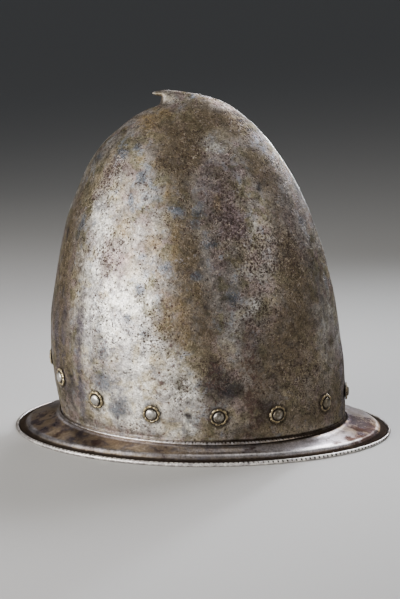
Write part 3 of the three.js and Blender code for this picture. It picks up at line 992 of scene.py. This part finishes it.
# The washers and rivets near the front are duller than those near the back.
dulling = {
    "atMiddle": .5,
    "perMetre": 4.5,
    "least": .1,
    "most": .9,
}


# Two directions square to an axis: sideways, level, and upwards.
def axesFor(axis):
    upward = np.array([0, 0, 1.0])
    sideways = unit(np.cross(upward, axis))
    return sideways, np.cross(axis, sideways)


def dullness(base):
    return np.clip(dulling["atMiddle"] + dulling["perMetre"] * base[0], dulling["least"], dulling["most"])


# Rings about an axis, from radii and heights above a base.
def turnedRings(base, axis, angle, radius, height):
    sideways, upward = axesFor(axis)
    return (
        base
        + sideways * (radius * np.cos(angle))[..., None]
        + upward * (radius * np.sin(angle))[..., None]
        + axis * (height + 0 * angle)[..., None]
    )


# A washer turned about its axis. At each joint of two petals the outline draws in and a vein runs inwards.
# Part of its ring is worn low and dark, by two waves round it.
def makeRosette(number):
    node = f"rosette_{number:02d}"
    base, axis = seats[number - 1]
    spec = rosetteShape
    draw = np.random.default_rng(spec["seed"] + number)
    angle = np.arange(spec["columns"]) * 2 * np.pi / spec["columns"]
    radius, height = np.array(spec["profile"])[..., None].transpose(1, 0, 2)
    petal = (angle / (2 * np.pi) * spec["petals"] + draw.uniform(0, 1)) % 1
    joint = np.exp(-(((petal + .5) % 1 - .5) / spec["notchWidth"]) ** 2)[None]
    outer = np.clip((radius - spec["petalsFrom"]) / spec["petalsOver"], 0, 1)
    left = 1 - spec["petalWear"] * np.clip(np.sin(angle + draw.uniform(0, 6)), 0, 1)[None]
    lost = np.sin(angle + draw.uniform(0, 6)) + spec["secondWave"] * np.sin(2 * angle + draw.uniform(0, 6))
    lost = np.clip(spec["lostShare"] + (1 - spec["lostShare"]) * lost, 0, 1)[None]
    raised = np.clip(height / spec["raisedAt"], 0, 1) * outer
    high = height - (spec["veinDepth"] * joint + spec["lostDepth"] * lost) * raised
    oval = np.sin(2 * angle + draw.uniform(0, 6))
    wobble = 1 + (spec["outOfRound"] * oval - spec["lostRadius"] * lost) * outer
    wide = (radius - spec["notchDepth"] * joint * outer * left) * wobble
    piece = meshOfRings(node + "_petals", turnedRings(base, axis, angle, wide, high))
    dirtAndShade = np.array(spec["dirtAndShade"])[:, None] + (spec["veinDirt"] * joint + spec["lostDirt"] * lost) * raised
    setAttribute(piece, "dirtAndShade", np.clip(dirtAndShade, 0, 1))
    setAttribute(piece, "tone", np.full(dirtAndShade.shape, dullness(base)))
    return piece, node


# A rivet turned about its axis: hammered tail, shank and domed head, slightly uneven by waves round it
# times waves along it.
def makeRivet(number):
    node = f"lining_rivet_{number:02d}"
    base, axis = seats[number - 1]
    spec = rivetShape
    wall = base - axis * spec["gap"]
    draw = np.random.default_rng(spec["seed"] + number)
    angle = np.arange(spec["columns"]) * 2 * np.pi / spec["columns"]
    radius, height = np.array(spec["profile"])[::-1, :, None].transpose(1, 0, 2)
    bump = sum(
        np.sin(often * angle + draw.uniform(0, 6))[None]
        * np.sin(spec["unevenPerMetre"] * height * often + draw.uniform(0, 6))
        for often in (2, 3)
    )
    wide = radius + spec["uneven"] * bump * (height > spec["headFrom"])
    rings = turnedRings(wall, axis, angle, wide, height)
    top, tail = wall + axis * spec["crownTop"], wall + axis * spec["tailEnd"]
    piece = meshOfRings(node + "_domed", rings, top, tail)
    low = np.clip((spec["darkUnder"] - height) / spec["darkOver"], 0, 1) * np.ones_like(angle)[None]
    dirtAndShade = np.concatenate([[0], low.ravel(), [1]])
    tone = dullness(base) + draw.uniform(-spec["toneSpread"], spec["toneSpread"])
    setAttribute(piece, "dirtAndShade", dirtAndShade)
    setAttribute(piece, "tone", np.full(len(dirtAndShade), tone))
    return piece, node


# Materials

def startMaterial(name):
    material = bpy.data.materials.new(name)
    material.use_nodes = True
    material.node_tree.nodes.clear()
    return material, material.node_tree


def addNode(tree, kind, inputs=None, **settings):
    node = tree.nodes.new(kind)
    for key, value in settings.items():
        setattr(node, key, value)
    for key, value in (inputs or {}).items():
        if isinstance(value, bpy.types.NodeSocket):
            tree.links.new(value, node.inputs[key])
        else:
            node.inputs[key].default_value = value
    return node


def attributeOf(tree, name):
    return addNode(tree, "ShaderNodeAttribute", attribute_name=name).outputs["Fac"]


def noiseOf(tree, where, scale, detail, roughness, distortion=0):
    inputs = {
        "Vector": where, "Scale": scale, "Detail": detail, "Roughness": roughness, "Distortion": distortion
    }
    return addNode(tree, "ShaderNodeTexNoise", inputs).outputs["Fac"]


def mathOf(tree, operation, *values):
    return addNode(tree, "ShaderNodeMath", dict(enumerate(values)), operation=operation).outputs[0]


def plus(tree, a, b):
    return mathOf(tree, "ADD", a, b)


def times(tree, a, b):
    return mathOf(tree, "MULTIPLY", a, b)


# From one range to another with soft ends, held at both.
def eased(tree, value, low, high, toLow=0.0, toHigh=1.0):
    inputs = {"Value": value, "From Min": low, "From Max": high, "To Min": toLow, "To Max": toHigh}
    return addNode(tree, "ShaderNodeMapRange", inputs, interpolation_type="SMOOTHSTEP").outputs["Result"]


def mixColour(tree, share, a, b, blend="MIX"):
    node = addNode(tree, "ShaderNodeMix", {0: share, 6: a, 7: b}, data_type="RGBA", blend_type=blend)
    return node.outputs[2]


def mixValue(tree, share, a, b):
    return addNode(tree, "ShaderNodeMix", {0: share, 2: a, 3: b}, data_type="FLOAT").outputs[0]


def bumpOf(tree, height, strength, distance):
    inputs = {"Strength": strength, "Distance": distance, "Height": height}
    return addNode(tree, "ShaderNodeBump", inputs).outputs["Normal"]


def finishMaterial(tree, inputs):
    shader = addNode(tree, "ShaderNodeBsdfPrincipled", inputs)
    addNode(tree, "ShaderNodeOutputMaterial", {"Surface": shader.outputs[0]})


def colour(red, green, blue):
    return (red, green, blue, 1)


steelFinish = {  # base colours are linear
    "plain": colour(.300, .272, .245),
    "plainDark": colour(.185, .158, .138),
    "tan": colour(.290, .240, .150),
    "cool": colour(.225, .240, .262),
    "pink": colour(.265, .205, .188),
    "olive": colour(.180, .162, .100),
    "rusty": colour(.195, .140, .090),
    # rubbed metal, which on the lit side and near the foot is partly a painted highlight
    "wornAndHighlight": colour(.660, .640, .600),
    # the keel's rubbed ridge, lightened as a painted highlight
    "keel": colour(.800, .780, .750),
    "wornAndHighlightGrey": colour(.340, .330, .325),
    "wornAndHighlightCool": colour(.190, .198, .208),
    "wornAndHighlightTan": colour(.350, .300, .205),
    "vein": colour(.520, .440, .340),
    "brown": colour(.098, .074, .047),
    "ochre": colour(.225, .158, .072),
    "slate": colour(.125, .134, .152),
    "mauve": colour(.165, .122, .128),
    "dark": colour(.028, .025, .026),
    "pit": colour(.046, .028, .023),
    "speck": colour(.620, .590, .550),
    "shelf": colour(.245, .196, .150),
    "shelfDark": colour(.090, .078, .084),
    "shelfRust": colour(.060, .036, .028),
    "shelfWorn": colour(.520, .485, .500),
    "chalkyAndHighlight": colour(.780, .750, .690),  # the edge where it is rubbed, lightened further as a painted highlight
    "footHighlight": colour(1.48, 1.46, 1.41),  # a painted highlight, by which the rubbed metal near the foot is lighter
    "edgeTint": colour(.16, .15, .14),  # of what the steel reflects at a glancing angle
    "hollow": colour(.230, .180, .140),
    "hollowRust": colour(.130, .078, .048),
    # dirt, and painted shade in the creases at the crown's foot
    "dirtAndShade": colour(.022, .015, .011),
}

# Each stain: where its mask begins and ends, and the metal and roughness that it leaves.
stainFinish = (
    ("mauve", .10, 1.05, .80, .50),
    ("ochre", .10, 1.05, .75, .50),
    ("brown", .10, 1.05, .65, .50),
    ("slate", .12, .80, .85, .42),
    ("dark", .12, 1.05, .60, .52),
)


# Each stain's attribute is torn by noise before it is read as a mask, so that no edge is a plain bell.
def tornMask(tree, name, noises, strengths, low, high):
    value = attributeOf(tree, name)
    for noise, strength in zip(noises, strengths):
        value = plus(tree, value, times(tree, plus(tree, noise, -.5), strength))
    return eased(tree, value, low, high)


# Round holes or specks: a cell has one where its own random number is under the density of that place.
def scattered(tree, where, scale, density, size):
    cells = addNode(tree, "ShaderNodeTexVoronoi", {"Vector": where, "Scale": scale}, feature="F1")
    chance = addNode(tree, "ShaderNodeSeparateColor", {0: cells.outputs["Color"]}).outputs[0]
    chosen = eased(tree, plus(tree, density, times(tree, chance, -1)), -.03, .03)
    return times(tree, chosen, eased(tree, cells.outputs["Distance"], size * .45, size, 1.0, 0.0))


# Each layer is laid over the colour, metal and roughness so far, as far as its mask says.
def layOver(tree, coat, mask, tone=None, metal=None, rough=None):
    if tone is not None:
        coat["tone"] = mixColour(tree, mask, coat["tone"], tone)
    if metal is not None:
        coat["metal"] = mixValue(tree, mask, coat["metal"], metal)
    if rough is not None:
        coat["rough"] = mixValue(tree, mask, coat["rough"], rough)


steelNoises = {  # scale detail roughness distortion
    "drift": (19, 3, .55, .3),
    "cloud": (46, 4, .6, .5),
    "haze": (72, 2, .5, .3),
    "patchy": (95, 5, .62, .4),
    "cluster": (120, 3, .6, .3),
    "broken": (150, 4, .7, 0),
    "blotch": (215, 4, .6, 0),
    "worms": (300, 2, .5, .6),
    "netting": (400, 2, .5, .8),
    "speck": (520, 3, .6, 0),
    "grain": (1000, 2, .6, 0),
}

# Tints of the bare ground and of rubbed metal, which is partly a painted highlight: each one's noise, where
# its mask begins and ends, and how much of it shows at most.
groundTints = (
    ("tan", "drift", .47, .64, .85),
    ("pink", "haze", .50, .62, .85),
    ("olive", "cloud", .50, .38, .75),
    ("cool", "patchy", .52, .66, .90),
    ("rusty", "cluster", .44, .34, .35),
)

rubbedAndHighlightTints = (
    ("wornAndHighlightGrey", "haze", .43, .60, .95),
    ("wornAndHighlightCool", "mottle", .50, .62, .90),
    ("wornAndHighlightTan", "cloud", .52, .64, .80),
)


# A tone with each tint of a table mixed in by its noise.
def tinted(tree, noise, tone, tints):
    for kind, name, low, high, most in tints:
        tone = mixColour(tree, eased(tree, noise[name], low, high, 0, most), tone, steelFinish[kind])
    return tone


# Light and dark ground with upright streaks, under the tints.
def bareGround(tree, where, noise):
    stretched = addNode(
        tree, "ShaderNodeMapping", {"Vector": where, "Scale": (1, 1, .22)}, vector_type="POINT"
    ).outputs["Vector"]
    shade = plus(tree, times(tree, noise["cloud"], .45), times(tree, noise["blotch"], .40))
    shade = plus(tree, shade, times(tree, noiseOf(tree, stretched, 240, 3, .6), .15))
    tone = mixColour(tree, eased(tree, shade, .40, .60), steelFinish["plainDark"], steelFinish["plain"])
    return tinted(tree, noise, tone, groundTints)


# The level lines of a noise: nought along them, growing to both sides.
def levelLines(tree, noise):
    return mathOf(tree, "ABSOLUTE", plus(tree, noise, -.5))


# Pits of two sizes, light specks, and light worm-like lines where the plate is pitted. Their places are
# shaken a little by noise, so that none is round.
def layPits(tree, where, noise, coat, wornAndHighlight):
    shake = addNode(tree, "ShaderNodeTexNoise", {"Vector": where, "Scale": 700, "Detail": 1})
    shaken = {0: shake.outputs["Color"], 1: (.0011, .0011, .0011), 2: where}
    shaken = addNode(tree, "ShaderNodeVectorMath", shaken, operation="MULTIPLY_ADD").outputs[0]
    pitted, shelf, dark, brown = (attributeOf(tree, name) for name in ("pits", "shelf", "dark", "brown"))
    density = plus(tree, times(tree, pitted, .62), eased(tree, noise["cluster"], .46, .62, .03, .46))
    density = times(tree, density, eased(tree, shelf, 0, 1, 1.0, .40))
    # Rubbed metal has fewer pits, apart from the charted ones.
    smoothed = plus(tree, wornAndHighlight, times(tree, pitted, -1.0))
    density = times(tree, density, plus(tree, 1.0, times(tree, smoothed, -.70)))
    coarseDensity = plus(tree, pitted, times(tree, noise["cluster"], .3))
    coarseDensity = eased(tree, coarseDensity, .25, 1.05, .03, .75)
    fine = scattered(tree, shaken, 760, density, .62)
    coarse = scattered(tree, shaken, 400, coarseDensity, .56)
    pit = mathOf(tree, "MAXIMUM", fine, coarse)

    light = scattered(tree, shaken, 640, eased(tree, noise["blotch"], .40, .62, .18, .02), .55)
    light = times(tree, light, eased(tree, plus(tree, dark, brown), .05, .50, .30, 0.0))
    layOver(tree, coat, light, steelFinish["speck"])

    vein = eased(tree, levelLines(tree, noise["worms"]), .008, .040, 1.0, 0.0)
    vein = times(tree, vein, eased(tree, noise["blotch"], .42, .60, 0, .75))
    vein = times(tree, vein, plus(tree, .35, pitted))
    vein = times(tree, vein, eased(tree, dark, .15, .60, 1.0, .35))
    layOver(tree, coat, vein, steelFinish["vein"])
    layOver(tree, coat, times(tree, pit, .88), steelFinish["pit"])
    layOver(tree, coat, pit, metal=.5)
    return pit


# The brim is browner and smoother, with bare metal on its ridges, rust and dark spots, and a pale crest
# that is rubbed and given a painted highlight.
def layBrim(tree, noise, tears, coat):
    patchy = eased(tree, noise["patchy"], .46, .64)
    ground = mixColour(tree, patchy, steelFinish["shelf"], steelFinish["shelfDark"])
    layOver(tree, coat, attributeOf(tree, "shelf"), ground, .92, .30)
    wornAndHighlight = tornMask(tree, "brimWornAndHighlight", tears, (.8, .65, .65), .08, .95)
    layOver(tree, coat, wornAndHighlight, steelFinish["shelfWorn"])
    for kind, end, tone in (("brimRust", .80, "shelfRust"), ("brimDark", .90, "shelfDark")):
        layOver(tree, coat, tornMask(tree, kind, tears, (.9, 1.1, .9), .20, end), steelFinish[tone])
    layOver(tree, coat, attributeOf(tree, "brimRust"), rough=.50)
    crest = times(tree, wornAndHighlight, eased(tree, noise["blotch"], .40, .58, .35, 1.0))
    crest = times(tree, attributeOf(tree, "chalkyAndHighlight"), crest)
    layOver(tree, coat, crest, steelFinish["chalkyAndHighlight"], .35, .45)


# Inside, dull brown iron mottled with rust.
def layHollow(tree, noise, coat):
    hollow = attributeOf(tree, "hollow")
    rusty = eased(tree, noise["mottle"], .46, .58)
    inside = mixColour(tree, rusty, steelFinish["hollow"], steelFinish["hollowRust"])
    layOver(tree, coat, times(tree, hollow, .9), inside)
    layOver(tree, coat, hollow, metal=.55, rough=.60)


# Near the foot the plate is duller, and its rubbed metal is made paler as a painted highlight.
def layFoot(tree, coat, wornAndHighlight):
    low = attributeOf(tree, "nearFoot")
    footHighlighted = mixColour(tree, 1.0, coat["tone"], steelFinish["footHighlight"], "MULTIPLY")
    layOver(tree, coat, times(tree, low, wornAndHighlight), footHighlighted)
    coat["rough"] = plus(tree, coat["rough"], times(tree, low, .12))


# Dirt in the grooves, dirt and painted shade in the creases at the crown's foot, and a darker ring round
# each washer.
def layDirtAndShade(tree, noise, coat):
    dirtAndShade = tornMask(tree, "dirtAndShade", (noise["blotch"], noise["speck"]), (.5, .4), .25, .80)
    ragged = times(tree, plus(tree, noise["blotch"], -.5), .0050)
    ring = eased(tree, plus(tree, attributeOf(tree, "seatDistance"), ragged), .0078, .0104, .62, 0.0)
    dirtAndShade = mathOf(tree, "MINIMUM", plus(tree, dirtAndShade, ring), 1.0)
    thinner = eased(tree, attributeOf(tree, "shelf"), 0, 1, 1.0, .93)
    layOver(tree, coat, times(tree, dirtAndShade, thinner), steelFinish["dirtAndShade"])
    layOver(tree, coat, dirtAndShade, metal=.92, rough=.75)


# Fine speckle over everything, by which the colour is multiplied. A net of lighter lines runs round darker
# cells, and larger patches lie under both.
def speckle(tree, noise, shelf):
    spot = plus(tree, times(tree, noise["speck"], .5), times(tree, noise["grain"], .5))
    spot = eased(tree, spot, .36, .64, .70, 1.30)
    spot = times(tree, spot, eased(tree, levelLines(tree, noise["netting"]), .0, .09, 1.26, .86))
    spot = mixValue(tree, times(tree, shelf, .3), spot, 1.0)
    body = plus(tree, times(tree, noise["patchy"], .45), times(tree, noise["broken"], .55))
    body = mixValue(tree, times(tree, shelf, .5), eased(tree, body, .38, .60, .60, 1.22), 1.0)
    return times(tree, spot, body)


# The height that the light sees, much lower on the brim.
def relief(tree, noise, shelf, pit):
    height = times(tree, pit, -1.0)
    for name, amount in (("speck", .6), ("grain", .35), ("blotch", 1.2), ("patchy", 1.8)):
        height = plus(tree, height, times(tree, noise[name], amount))
    return times(tree, height, eased(tree, shelf, 0, 1, 1.0, .14))


# The steel of the plate, laid layer by layer.
def makeSteel():
    material, tree = startMaterial("aged hammered steel")
    where = addNode(tree, "ShaderNodeTexCoord").outputs["Object"]
    noise = {name: noiseOf(tree, where, *values) for name, values in steelNoises.items()}
    noise["mottle"] = plus(tree, times(tree, noise["patchy"], .55), times(tree, noise["blotch"], .45))
    tears = (noise["patchy"], noise["blotch"], noise["speck"])
    shelf = attributeOf(tree, "shelf")

    coat = {"tone": bareGround(tree, where, noise), "metal": .88, "rough": .46}
    # Rubbed metal, partly real wear and partly a painted highlight on the lit side and at the foot.
    wornAndHighlight = tornMask(tree, "wornAndHighlight", (noise["cloud"],) + tears, (1.3, 1.3, 1.1, .5), .05, 1.10)
    layOver(tree, coat, wornAndHighlight, tinted(tree, noise, steelFinish["wornAndHighlight"], rubbedAndHighlightTints), .82, .42)
    for kind, low, high, metal, rough in stainFinish:
        mask = tornMask(tree, kind, tears, (1.1, 1.2, .7), low, high)
        layOver(tree, coat, mask, steelFinish[kind], metal, rough)
    pit = layPits(tree, where, noise, coat, wornAndHighlight)
    # The keel's ridge: rubbed metal lightened as a painted highlight.
    keel = tornMask(tree, "keelWorn", tears, (1.2, 1.4, .8), .40, 1.0)
    layOver(tree, coat, times(tree, keel, .9), steelFinish["keel"])
    layOver(tree, coat, keel, rough=.28)
    layBrim(tree, noise, tears, coat)
    layHollow(tree, noise, coat)
    layFoot(tree, coat, wornAndHighlight)
    layDirtAndShade(tree, noise, coat)

    speckled = {0: coat["tone"], 1: speckle(tree, noise, shelf)}
    speckled = addNode(tree, "ShaderNodeVectorMath", speckled, operation="MULTIPLY").outputs[0]
    uneven = times(tree, plus(tree, noise["blotch"], -.5), eased(tree, shelf, 0, 1, .22, .10))
    finishMaterial(tree, {
        "Base Color": speckled,
        "Metallic": coat["metal"],
        "Roughness": plus(tree, coat["rough"], uneven),
        "Normal": bumpOf(tree, relief(tree, noise, shelf, pit), .8, .00026),
        "Specular Tint": steelFinish["edgeTint"],
    })
    return material


brassFinish = {
    "bright": colour(.520, .430, .260),
    "dull": colour(.200, .152, .084),
    "recess": colour(.022, .014, .009),
}


def makeBrass():
    material, tree = startMaterial("aged brass")
    where = addNode(tree, "ShaderNodeTexCoord").outputs["Object"]
    blotch = noiseOf(tree, where, 420, 4, .6)
    speck = noiseOf(tree, where, 1400, 3, .6)
    share = plus(tree, blotch, times(tree, plus(tree, attributeOf(tree, "tone"), -.5), -.30))
    tone = mixColour(tree, eased(tree, share, .35, .65), brassFinish["dull"], brassFinish["bright"])
    dirtAndShade = tornMask(tree, "dirtAndShade", (blotch, speck), (.7, .5), .20, .80)
    coat = {"tone": tone, "metal": .95, "rough": .38}
    layOver(tree, coat, dirtAndShade, brassFinish["recess"], .15, .75)
    finishMaterial(tree, {
        "Base Color": coat["tone"], "Metallic": coat["metal"], "Roughness": coat["rough"],
        "Normal": bumpOf(tree, speck, .4, .00015),
    })
    return material


ironFinish = {
    "silvery": colour(.560, .540, .500),
    "olive": colour(.120, .100, .070),
    "recess": colour(.030, .023, .017),
}


def makeIron():
    material, tree = startMaterial("rubbed rivet iron")
    where = addNode(tree, "ShaderNodeTexCoord").outputs["Object"]
    blotch = noiseOf(tree, where, 380, 4, .6)
    speck = noiseOf(tree, where, 1400, 3, .6)
    share = plus(tree, attributeOf(tree, "tone"), times(tree, plus(tree, blotch, -.5), 1.4))
    tone = mixColour(tree, eased(tree, share, .1, .8), ironFinish["silvery"], ironFinish["olive"])
    dirtAndShade = tornMask(tree, "dirtAndShade", (blotch, speck), (.6, .4), .25, .85)
    coat = {"tone": tone, "rough": .36}
    layOver(tree, coat, dirtAndShade, ironFinish["recess"], rough=.7)
    finishMaterial(tree, {
        "Base Color": coat["tone"], "Metallic": .95, "Roughness": coat["rough"],
        "Normal": bumpOf(tree, speck, .4, .00015),
    })
    return material


# Dressing

steel, brass, iron = makeSteel(), makeBrass(), makeIron()


def dress(piece, material, node):
    piece.data.materials.append(material)
    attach(piece, "root")
    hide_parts(node)


for piece in (makePlate(), makeRopedEdge(), makeFootBead()):
    dress(piece, steel, "skull")
print("plate, roped edge and foot bead made")

for number in range(1, rivetCount + 1):
    rosette, rosetteNode = makeRosette(number)
    dress(rosette, brass, rosetteNode)
    rivet, rivetNode = makeRivet(number)
    dress(rivet, iron, rivetNode)
print(rivetCount, "rosettes and rivets made")


# Stage, lights and camera

studio = {
    "floorSize": 30,
    "floorColour": colour(.44, .43, .415),
    "floorRoughness": .85,
    "worldColour": colour(.70, .74, .80),
    "worldStrength": .12,
    # azimuth elevation distance wide high power spread colour, azimuth as the camera's
    "lights": {
        "key": (-58, 26, 1.5, 1.7, 1.8, 8.6, 75, (1, .98, .95)),
        "low_key": (-42, 4, 1.1, .90, .14, 4.0, 100, (1, .98, .95)),
        "side_strip": (155, 15, 1.3, .14, .25, 1.5, 50, (.86, .93, 1)),
        "back_strip": (154, 44, 1.4, 1.0, .44, 3.6, 50, (.92, .93, 1)),
        "left_strip": (-154, 40, 1.4, .55, 1.30, .45, 60, (1, .97, .93)),
        "top": (30, 78, 1.6, .90, .90, .6, 80, (1, .99, .97)),
        "fill": (72, 20, 2.2, 1.4, 1.5, 3.2, 75, (1, .98, .95)),
    },
}

view = {
    "azimuth": 6.56,
    "elevation": 11.79,
    "distance": 1.649,
    "heightAimed": .1358,  # of the point that the viewing angle is measured about
    "lens": 118.25,
    "dropInFrame": .0248,  # how far under that point the middle of the picture lies
    "leftInFrame": .0020,
}


# The direction towards an azimuth and an elevation. Azimuth 0 is the wearer's right and 90 the front.
def fromAngles(azimuth, elevation):
    a, e = math.radians(azimuth), math.radians(elevation)
    return Vector((math.sin(a) * math.cos(e), -math.cos(a) * math.cos(e), math.sin(e)))


# Turns a lamp or camera to look at a point.
def turnTo(thing, target):
    thing.rotation_euler = (target - thing.location).to_track_quat("-Z", "Y").to_euler()


def addLight(name, azimuth, elevation, distance, wide, high, power, spread, tint):
    lamp = bpy.data.lights.new(name, "AREA")
    lamp.shape, lamp.size, lamp.size_y = "RECTANGLE", wide, high
    lamp.energy, lamp.color, lamp.spread = power, tint, math.radians(spread)
    light = bpy.data.objects.new(name, lamp)
    light.visible_camera = False  # no lamp stands in the way of a view from behind
    bpy.context.scene.collection.objects.link(light)
    target = Vector((0, 0, view["heightAimed"]))
    light.location = target + fromAngles(azimuth, elevation) * distance
    turnTo(light, target)


def makeFloor():
    half = studio["floorSize"] / 2
    mesh = bpy.data.meshes.new("floor")
    corners = [(-half, -half, 0), (half, -half, 0), (half, half, 0), (-half, half, 0)]
    mesh.from_pydata(corners, [], [(0, 1, 2, 3)])
    floor = bpy.data.objects.new("floor", mesh)
    bpy.context.scene.collection.objects.link(floor)
    material, tree = startMaterial("pale floor")
    finishMaterial(tree, {"Base Color": studio["floorColour"], "Roughness": studio["floorRoughness"]})
    mesh.materials.append(material)


def makeWorld():
    world = bpy.data.worlds.new("studio")
    world.use_nodes = True
    world.node_tree.nodes.clear()
    light = addNode(world.node_tree, "ShaderNodeBackground",
                    {"Color": studio["worldColour"], "Strength": studio["worldStrength"]})
    addNode(world.node_tree, "ShaderNodeOutputWorld", {"Surface": light.outputs[0]})
    bpy.context.scene.world = world


def makeCamera():
    lens = bpy.data.cameras.new("camera")
    lens.lens = view["lens"]
    camera = bpy.data.objects.new("camera", lens)
    bpy.context.scene.collection.objects.link(camera)
    target = Vector((0, 0, view["heightAimed"]))
    camera.location = target + fromAngles(view["azimuth"], view["elevation"]) * view["distance"]
    turn = math.radians(view["azimuth"])
    right = Vector((math.cos(turn), math.sin(turn), 0))
    turnTo(camera, target - Vector((0, 0, view["dropInFrame"])) - right * view["leftInFrame"])
    bpy.context.scene.camera = camera


makeFloor()
makeWorld()
for name, values in studio["lights"].items():
    addLight(name, *values)
makeCamera()
print("stage, lights and camera set")
